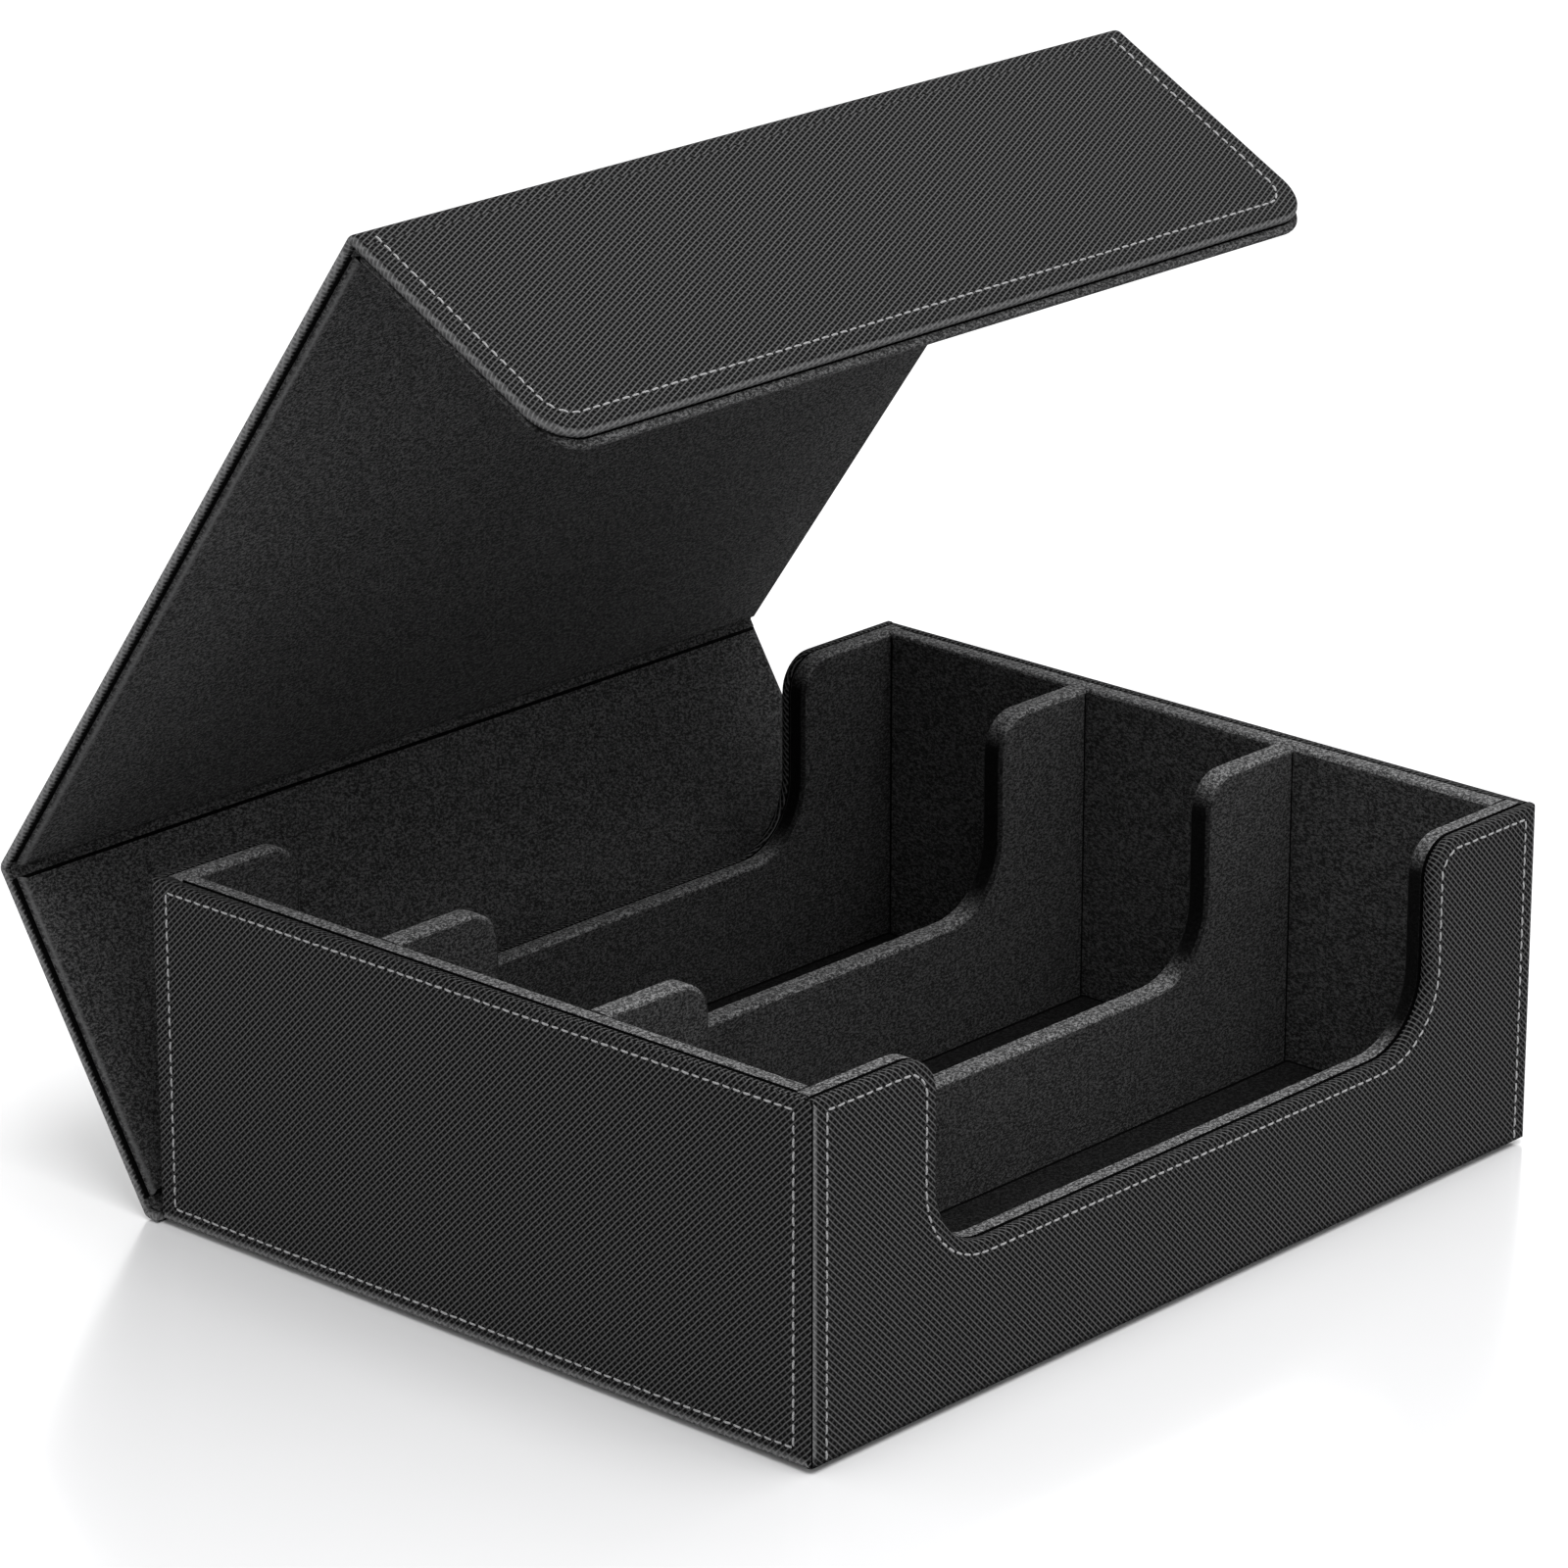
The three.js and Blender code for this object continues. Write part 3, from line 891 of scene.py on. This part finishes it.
# Leather: its ribs, the bridges between them and its grain, as shares of a rib's height.
RIB_WANDER = 0.3  # in millimetres
RIB_SHARPNESS = 1.6
BRIDGE_SHARPNESS = 1.5
BRIDGE_HEIGHT = 0.68
GRAIN_HEIGHT = 0.3
LEATHER_GREYS = ((0.0, 0.0002), (0.22, 0.0006), (0.5, 0.0084), (0.75, 0.0325), (1.0, 0.085))
LEATHER_CLOUD_GREYS = ((0.3, 0.008), (0.7, 0.016))
# Rolled edges: black painted shade in creases, and a painted highlight where the ribs are rubbed.
CREASE_SHADE_BLACK = (0.001, 0.001, 0.001, 1.0)
CREASE_SHADE_STRENGTH = 0.85
RUB_AND_HIGHLIGHT_STRENGTH = 0.68
RUBBED_HIGHLIGHT_GREYS = ((0.1, 0.11), (0.6, 0.19))

# Felt.
NAP_STRETCH = (0.75, 0.75, 1.3)  # crinkles are longer sideways than upwards
NAP_MIDDLE = 0.29  # the middle grey, as a share of the darkest and the lightest added up
# Painted highlight on the linings' rolled sides.
LINING_HIGHLIGHT_STRENGTH = 0.75
LINING_HIGHLIGHT_GREY = (0.085, 0.085, 0.086, 1.0)
# Rim felt: black painted shade where the rim stands upright, paler as it lies level.
RIM_SHARES = ((0.0, 0.015), (0.2, 0.03), (0.45, 0.25), (0.9, 1.0))

# Thread and steel.
THREAD_PLY = 0.42  # pitch of its twist, in millimetres
THREAD_SLANT = 0.14
THREAD_GREYS = ((0.0, 0.15), (1.0, 0.32))
STEEL_STRETCH = (0.4, 9.0, 9.0)


class Graph:
    """A material's nodes, with short calls to add and join them."""

    def __init__(self, name):
        self.material = bpy.data.materials.new(name)
        self.material.use_nodes = True
        self.tree = self.material.node_tree
        self.tree.nodes.clear()
        self.shader = self.add("BsdfPrincipled")
        output = self.add("OutputMaterial")
        self.tree.links.new(self.shader.outputs["BSDF"], output.inputs["Surface"])

    def add(self, kind, inputs=None, **settings):
        node = self.tree.nodes.new("ShaderNode" + kind)
        for key, value in settings.items():
            setattr(node, key, value)
        for key, value in (inputs or {}).items():
            self.put(node.inputs[key], value)
        return node

    def put(self, socket, value):
        if isinstance(value, bpy.types.NodeSocket):
            self.tree.links.new(value, socket)
        else:
            socket.default_value = value

    def math(self, operation, *values, clamp=False):
        inputs = dict(enumerate(values))
        return self.add("Math", inputs, operation=operation, use_clamp=clamp).outputs[0]

    def noise(self, vector, scale, detail=2.0, roughness=0.5):
        inputs = {"Vector": vector, "Scale": scale, "Detail": detail, "Roughness": roughness}
        return self.add("TexNoise", inputs).outputs["Fac"]

    def ramp(self, factor, *stops):
        node = self.add("ValToRGB", {"Fac": factor})
        elements = node.color_ramp.elements
        while len(elements) < len(stops):
            elements.new(0.5)
        for element, (position, grey) in zip(elements, stops):
            element.position = position
            element.color = (grey, grey, grey * COOLNESS, 1.0)
        return node.outputs["Color"]

    def mix(self, factor, one, two):
        inputs = dict(zip(MIX_COLOUR_INPUTS, (factor, one, two)))
        return self.add("Mix", inputs, data_type="RGBA").outputs[MIX_COLOUR_OUTPUT]

    def millimetres(self):
        """The piece's own coordinates in millimetres."""
        coordinates = self.add("TexCoord").outputs["Object"]
        scaled = self.add("VectorMath", {0: coordinates, 3: 1 / METRE}, operation="SCALE")
        return scaled.outputs[0]

    def bump(self, height, distance, strength=1.0):
        inputs = {"Height": height, "Distance": distance, "Strength": strength}
        normal = self.add("Bump", inputs).outputs["Normal"]
        self.put(self.shader.inputs["Normal"], normal)

    def set(self, **values):
        for key, value in values.items():
            self.put(self.shader.inputs[key.replace("_", " ")], value)


def wave(graph, coordinate, pitch):
    """From 0 to 1 and back once in every pitch."""
    turns = graph.math("MULTIPLY", coordinate, 2 * math.pi / pitch)
    return graph.math("MULTIPLY_ADD", graph.math("COSINE", turns), 0.5, 0.5)


def leather_material(name, rolled):
    """Pressed leather cloth: raised diagonal ribs, with pits between them.

    On a rolled edge, a value over 0 is wear with a painted highlight, rubbing the ribs to a smooth
    paler grey, and under 0 is painted shade that blackens a crease.
    """
    graph = Graph(name)
    weave = graph.add("UVMap", uv_map="weave").outputs["UV"]
    place = graph.add("SeparateXYZ", {"Vector": weave})
    wander = graph.math("MULTIPLY_ADD", graph.noise(weave, 0.35, 1.0), RIB_WANDER, 0.5)
    across = graph.math("ADD", place.outputs["X"], wander)
    rib = graph.math("POWER", wave(graph, across, RIB_PITCH), RIB_SHARPNESS)
    bridge = graph.math("POWER", wave(graph, place.outputs["Y"], BRIDGE_PITCH), BRIDGE_SHARPNESS)
    bridge = graph.math("MULTIPLY", bridge, BRIDGE_HEIGHT)
    weave_height = graph.math("MAXIMUM", rib, bridge)
    grain = graph.noise(weave, 2.4, 3.0, 0.65)
    grain = graph.math("MULTIPLY_ADD", grain, GRAIN_HEIGHT, -GRAIN_HEIGHT / 2)
    height = graph.math("ADD", weave_height, grain, clamp=True)
    colour = graph.ramp(height, *LEATHER_GREYS)
    shade = graph.ramp(graph.noise(weave, 0.02, 3.0), *LEATHER_CLOUD_GREYS)
    colour = graph.mix(0.05, colour, shade)
    if rolled:
        # Under 0, painted shade blackens a crease; over 0, wear with a painted highlight rubs the
        # ribs paler.
        wear_and_shading = graph.add("Attribute", attribute_name="wear_and_shading").outputs["Fac"]
        crease_shade = graph.math("MULTIPLY", wear_and_shading, -CREASE_SHADE_STRENGTH, clamp=True)
        colour = graph.mix(crease_shade, colour, CREASE_SHADE_BLACK)
        shine = graph.math("MULTIPLY", wear_and_shading, RUB_AND_HIGHLIGHT_STRENGTH, clamp=True)
        colour = graph.mix(shine, colour, graph.ramp(height, *RUBBED_HIGHLIGHT_GREYS))
    roughness = graph.math("MULTIPLY_ADD", height, -0.16, 0.66)
    graph.set(Base_Color=colour, Roughness=roughness, Specular_IOR_Level=0.03)
    graph.bump(height, 0.0003, 0.9)
    return graph.material


def felt_material(name, dark, light, coarse, painted_light=""):
    """Short-napped microfibre cloth, with about "coarse" crinkles in a millimetre.

    "highlight" paints a paler highlight along rolled edges; "rim" paints black shade where a dip's
    rim is upright.
    """
    graph = Graph(name)
    place = graph.millimetres()
    lying = graph.add("VectorMath", {0: place, 1: NAP_STRETCH}, operation="MULTIPLY").outputs[0]
    crinkle = graph.noise(lying, coarse, 3.0, 0.6)
    fibre = graph.noise(lying, coarse * 2.6, 2.0, 0.6)
    cloud = graph.noise(place, 0.025, 3.0, 0.55)
    blend = graph.math("MULTIPLY_ADD", crinkle, 0.6, graph.math("MULTIPLY", fibre, 0.4))
    colour = graph.ramp(blend, (0.43, dark), (0.5, (dark + light) * NAP_MIDDLE), (0.58, light))
    shade = graph.ramp(cloud, (0.3, dark * 1.15), (0.7, (dark + light) / 2))
    colour = graph.mix(0.12, colour, shade)
    if painted_light:
        wear_and_shading = graph.add("Attribute", attribute_name="wear_and_shading").outputs["Fac"]
    if painted_light == "rim":
        colour = graph.mix(graph.ramp(wear_and_shading, *RIM_SHARES), BLACK, colour)
    if painted_light == "highlight":
        highlight_share = graph.math("MULTIPLY", wear_and_shading, LINING_HIGHLIGHT_STRENGTH)
        colour = graph.mix(highlight_share, colour, LINING_HIGHLIGHT_GREY)
    graph.set(Base_Color=colour, Roughness=0.95, Specular_IOR_Level=0.03)
    graph.set(Sheen_Weight=0.02, Sheen_Roughness=0.5)
    graph.bump(blend, 0.0004, 0.8)
    return graph.material


def painted_shade_material():
    """Painted shade: the black put in seams, grooves, creases and on cut ends where shade falls,
    with a trace of nap.
    """
    graph = Graph("painted_shade")
    fibre = graph.noise(graph.millimetres(), 2.0, 3.0, 0.7)
    colour = graph.ramp(fibre, (0.3, 0.0005), (0.7, 0.0015))
    graph.set(Base_Color=colour, Roughness=0.95, Specular_IOR_Level=0.02)
    graph.bump(fibre, 0.0002, 0.5)
    return graph.material


def thread_material():
    """Twisted polyester thread."""
    graph = Graph("sewing_thread")
    weave = graph.add("UVMap", uv_map="weave").outputs["UV"]
    place = graph.add("SeparateXYZ", {"Vector": weave})
    slant = graph.math("MULTIPLY", place.outputs["Y"], THREAD_SLANT)
    ply = wave(graph, graph.math("ADD", place.outputs["X"], slant), THREAD_PLY)
    colour = graph.ramp(ply, *THREAD_GREYS)
    graph.set(Base_Color=colour, Roughness=0.62, Specular_IOR_Level=0.3, Sheen_Weight=0.15)
    graph.bump(ply, 0.00006, 0.6)
    return graph.material


def board_material():
    """Raw grey card board, seen only at cut edges."""
    graph = Graph("grey_board")
    fibre = graph.noise(graph.millimetres(), 3.0, 4.0, 0.7)
    colour = graph.ramp(fibre, (0.3, 0.035), (0.7, 0.07))
    graph.set(Base_Color=colour, Roughness=0.92)
    graph.bump(fibre, 0.0001, 0.5)
    return graph.material


def steel_material():
    """Plated steel with fine brushing."""
    graph = Graph("plated_steel")
    inputs = {0: graph.millimetres(), 1: STEEL_STRETCH}
    stretched = graph.add("VectorMath", inputs, operation="MULTIPLY").outputs[0]
    brushing = graph.noise(stretched, 1.0, 3.0, 0.6)
    colour = graph.ramp(brushing, (0.3, 0.52), (0.7, 0.66))
    roughness = graph.math("MULTIPLY_ADD", brushing, 0.2, 0.22)
    graph.set(Base_Color=colour, Roughness=roughness, Metallic=1.0)
    graph.bump(brushing, 0.00003, 0.4)
    return graph.material


leather = leather_material("ribbed_leather", False)
# The rolled edges carry wear with painted highlights, and painted shade in creases.
rolled_leather = leather_material("rolled_leather", True)

# Darkest and lightest grey, crinkles in a millimetre, and which painted light each carries.
felt = felt_material("wrap_felt", 0.0055, 0.074, 1.3)
lining_felt = felt_material("lining_felt", 0.0055, 0.078, 1.3, "highlight")
# The rows' floor felt is the same cloth, darkened with painted shade.
shaded_floor_nap = felt_material("floor_felt", 0.001, 0.013, 1.3)
rim_felt = felt_material("rim_felt", 0.013, 0.2, 1.35, "rim")

# Black painted shade for seams, grooves, creases and cut ends.
painted_shade = painted_shade_material()
thread = thread_material()
board = board_material()
steel = steel_material()

# ---- The frame's own pieces keep their shapes and get a material ----


def dress_frame():
    for node, piece in frame["nodes"].items():
        material = steel if "magnet" in node or "plate" in node else board
        if "leather" in node:
            material = leather
        if "felt" in node:
            material = felt
        for holder in piece.material_slots:
            holder.material = material


# ---- Building the object ----


def build_tray():
    for name, foot in (("front", FRONT_FOOT), ("back", BACK_FOOT)):
        wall_skin(name, dipped_path, HALF_LENGTH, foot, SIDE_SKIN_RINGS, RIB_SIDE)
        wall_felt(name, dipped_path, SIDE_CORE_HALF)
        paths = side_wall_stitches(foot + STITCH_SIDE_WALL_FOOT)
        sew(f"{name}_thread", wall_placing(name), "tray", paths)
    for name in ("right", "left"):
        wall_skin(name, plain_path, HALF_DEPTH, FRONT_FOOT, END_SKIN_RINGS, RIB_END)
        wall_felt(name, plain_path, END_CORE_HALF)
        sew(f"{name}_thread", wall_placing(name), "tray", end_wall_stitches())
    for index in (1, 2):
        divider_felt(index)
    for row in (1, 2, 3):
        floor_felt(row)
    base_skin()


def build_cover():
    near = FOLD_HALF_GAP
    reaches = [BACK_SPAN - FOLD_HALF_GAP, TOP_SPAN - FOLD_HALF_GAP, FLAP]
    for index, far in enumerate(reaches):
        name = FOLD_BODIES[index + 1]
        radius = FLAP_RADIUS if name == "cover_flap" else 0.0
        fold_leather(index, BASE_HIGH.y)
        fold_felt(index)
        panel_skin(name, index, near, far, radius)
        panel_lining(name, index, near, far, radius)
        paths = flap_stitches(near, far) if radius else panel_side_stitches(near, far)
        sew(f"{name}_thread", cover_placing(index), name, paths)


# ---- Stage ----

TARGET = Vector((-28.4, -0.2, 124.9)) * METRE
DISTANCE = 1.9  # from the target to the camera, in metres
AZIMUTH = math.radians(-47.56)
ELEVATION = math.radians(19.56)
LENS = 161.5
WORLD_STRENGTH = 1.0

# Name, direction from the box, distance and sizes in metres, power in watts.
SOFTBOXES = [
    ("key", (-0.1, -0.35, 1.0), 3.0, (2.4, 2.4), 92),
    ("front_fill", (-0.1, -1.0, 0.45), 3.2, (2.0, 2.0), 4),
    ("gloss", (0.75, 0.05, 0.75), 2.4, (1.0, 1.6), 8),
]

FLOOR_REACH = 9.0
FLOOR_DROP = 0.0003  # keeps the floor clear of the underside


def back_vector(azimuth, elevation):
    level = math.cos(elevation)
    return Vector((math.sin(azimuth) * level, -math.cos(azimuth) * level, math.sin(elevation)))


def place_camera():
    camera = bpy.data.objects.new("camera", bpy.data.cameras.new("camera"))
    bpy.context.scene.collection.objects.link(camera)
    back = back_vector(AZIMUTH, ELEVATION)
    camera.location = TARGET + back * DISTANCE
    camera.rotation_mode = "QUATERNION"
    camera.rotation_quaternion = (-back).to_track_quat("-Z", "Y")
    camera.data.sensor_width = 36
    camera.data.lens = LENS
    camera.data.clip_start = 0.05
    camera.data.clip_end = 60
    bpy.context.scene.camera = camera


def softbox(name, towards, distance, size, power):
    light = bpy.data.lights.new(name, "AREA")
    light.shape = "RECTANGLE"
    light.size, light.size_y = size
    light.energy = power
    lamp = bpy.data.objects.new(name, light)
    bpy.context.scene.collection.objects.link(lamp)
    direction = Vector(towards).normalized()
    lamp.location = direction * distance
    lamp.rotation_mode = "QUATERNION"
    lamp.rotation_quaternion = direction.to_track_quat("Z", "Y")


def light_studio():
    for facts in SOFTBOXES:
        softbox(*facts)
    world = bpy.data.worlds.new("studio")
    world.use_nodes = True
    background = world.node_tree.nodes["Background"]
    background.inputs["Color"].default_value = (1.0, 1.0, 1.0, 1.0)
    background.inputs["Strength"].default_value = WORLD_STRENGTH
    bpy.context.scene.world = world


def lay_floor():
    graph = Graph("pale_floor")
    speck = graph.noise(graph.millimetres(), 0.004, 2.0)
    colour = graph.ramp(speck, (0.3, 0.75), (0.7, 0.77))
    graph.set(Base_Color=colour, Roughness=0.2)
    graph.set(Specular_IOR_Level=1.0, Coat_Weight=1.0, Coat_Roughness=0.16, Coat_IOR=1.8)
    mesh = bpy.data.meshes.new("floor")
    corners = plate_loop(-FLOOR_REACH, FLOOR_REACH, -FLOOR_REACH, FLOOR_REACH, 0.0)
    mesh.from_pydata(at_depth(corners, 0.0), [], [(0, 1, 2, 3)])
    mesh.materials.append(graph.material)
    floor = bpy.data.objects.new("floor", mesh)
    floor.location.z = -FLOOR_DROP
    bpy.context.scene.collection.objects.link(floor)


bpy.context.scene.view_settings.view_transform = "Standard"
dress_frame()
build_tray()
build_cover()
place_camera()
light_studio()
lay_floor()
